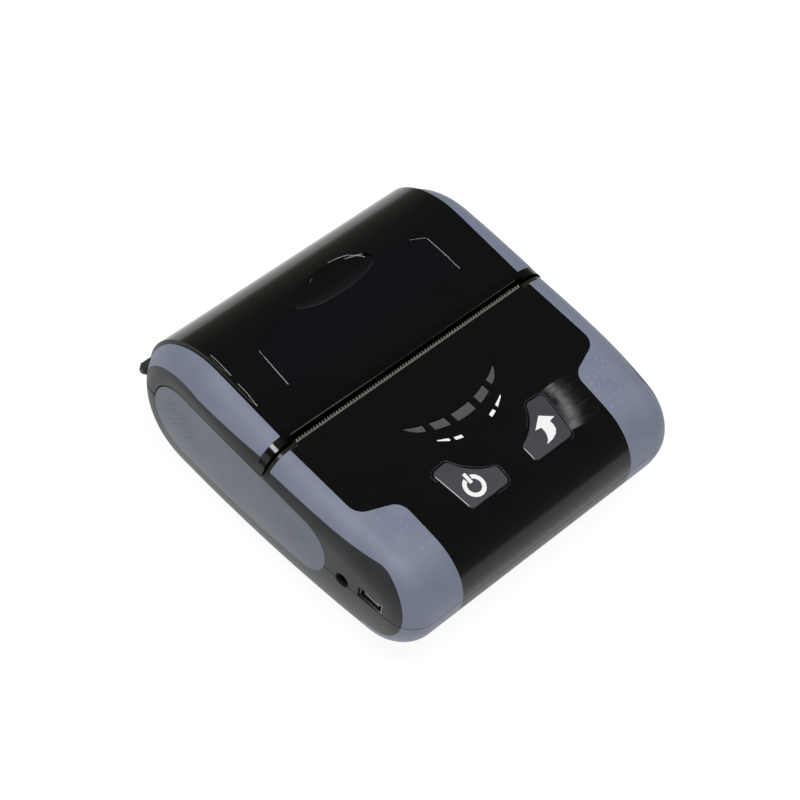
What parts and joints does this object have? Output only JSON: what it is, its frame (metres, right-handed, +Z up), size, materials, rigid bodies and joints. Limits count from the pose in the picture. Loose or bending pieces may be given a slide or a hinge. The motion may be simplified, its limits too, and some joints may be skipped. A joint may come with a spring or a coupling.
{
  "type": "mobile receipt printer",
  "caption": "Palm-size thermal receipt printer for 80 mm paper, with a hinged paper cover that carries the platen, a serrated tear bar, rubber grips, two keys and status windows.",
  "frame": {"origin": "under the middle of the case, on the surface it rests on", "axes": "+Z up, +Y from the keys towards the paper cover's hinge, +X to the right seen from the keys; the charging and data sockets are on the -X side"},
  "size_m": [0.1036, 0.1083, 0.0465],
  "materials": {
    "charcoal_plastic": "fine satin texture",
    "tray_plastic": "smooth satin",
    "gloss_black": "polished",
    "smoked_window": "polished smoked acrylic",
    "grip_rubber": "soft matt, blue-grey",
    "side_rubber": "soft matt with raised dots",
    "button_plastic": "satin",
    "blade_steel": "bright rolled steel",
    "frame_steel": "zinc plated sheet",
    "screw_steel": "dark zinc",
    "heatsink_aluminium": "extruded",
    "head_ceramic": "glazed ceramic",
    "platen_rubber": "ground rubber",
    "gear_plastic": "moulded acetal",
    "gear_brass": "machined",
    "bush_plastic": "moulded acetal",
    "motor_case": "zinc plated can",
    "board_green": "solder mask",
    "switch_black": "moulded",
    "socket_black": "moulded",
    "port_metal": "stamped shell",
    "battery_wrap": "shrink wrap",
    "lens_grey": "frosted light pipe"
  },
  "bodies": {
    "base": {"lower_shell": "charcoal_plastic", "paper_tray": "tray_plastic", "front_shell": "charcoal_plastic", "battery_door": "charcoal_plastic", "control_panel": "gloss_black", "front_grip_left": "grip_rubber", "front_grip_right": "grip_rubber", "lower_grip_left": "grip_rubber", "lower_grip_right": "grip_rubber", "side_grip_left": "side_rubber", "side_grip_right": "side_rubber", "tear_bar": "blade_steel", "mechanism_frame": "frame_steel", "idler_stud": "blade_steel", "hinge_pins": "blade_steel", "case_screws": "screw_steel", "head_heatsink": "heatsink_aluminium", "print_head": "head_ceramic", "feed_motor": "motor_case", "main_board": "board_green", "key_board": "board_green", "feed_switch": "switch_black", "power_switch": "switch_black", "dc_jack": "socket_black", "usb_port": "port_metal", "battery_pack": "battery_wrap", "status_lens_1": "lens_grey", "status_lens_2": "lens_grey", "status_lens_3": "lens_grey", "status_lens_4": "lens_grey", "status_lens_5": "lens_grey"},
    "cover": {"cover_frame": "charcoal_plastic", "cover_panel": "gloss_black", "cover_window": "smoked_window", "cover_grip_left": "grip_rubber", "cover_grip_right": "grip_rubber", "platen_bush_left": "bush_plastic", "platen_bush_right": "bush_plastic"},
    "platen": {"platen_shaft": "blade_steel", "platen_roller": "platen_rubber", "platen_gear": "gear_plastic"},
    "idler": {"idler_gear": "gear_plastic"},
    "pinion": {"motor_pinion": "gear_brass", "motor_shaft": "blade_steel"},
    "power_button": {"power_button": "button_plastic"},
    "feed_button": {"feed_button": "button_plastic"}
  },
  "joints": [
    {"name": "cover_hinge", "type": "hinge", "parent": "base", "child": "cover", "pos_m": [0, 0.0529, 0.0235], "axis": [-1, 0, 0], "range_deg": [0, 95]},
    {"name": "platen_spin", "type": "hinge", "parent": "cover", "child": "platen", "pos_m": [0, 0.006, 0.034], "axis": [1, 0, 0], "continuous": true},
    {"name": "idler_spin", "type": "hinge", "parent": "base", "child": "idler", "pos_m": [0, 0.00353, 0.02328], "axis": [1, 0, 0], "continuous": true},
    {"name": "pinion_spin", "type": "hinge", "parent": "base", "child": "pinion", "pos_m": [0, -0.00508, 0.01927], "axis": [1, 0, 0], "continuous": true},
    {"name": "power_press", "type": "slide", "parent": "base", "child": "power_button", "axis": [0, 0.1305, -0.9914], "range_m": [0, 0.0006], "stiffness_N_per_m": 1500, "springref_m": -0.0002},
    {"name": "feed_press", "type": "slide", "parent": "base", "child": "feed_button", "axis": [0, 0.1305, -0.9914], "range_m": [0, 0.0006], "stiffness_N_per_m": 1500, "springref_m": -0.0002}
  ],
  "couplings": [
    {"joint": "idler_spin", "follows": "platen_spin", "ratio": -0.83333},
    {"joint": "pinion_spin", "follows": "platen_spin", "ratio": 1.4286}
  ]
}
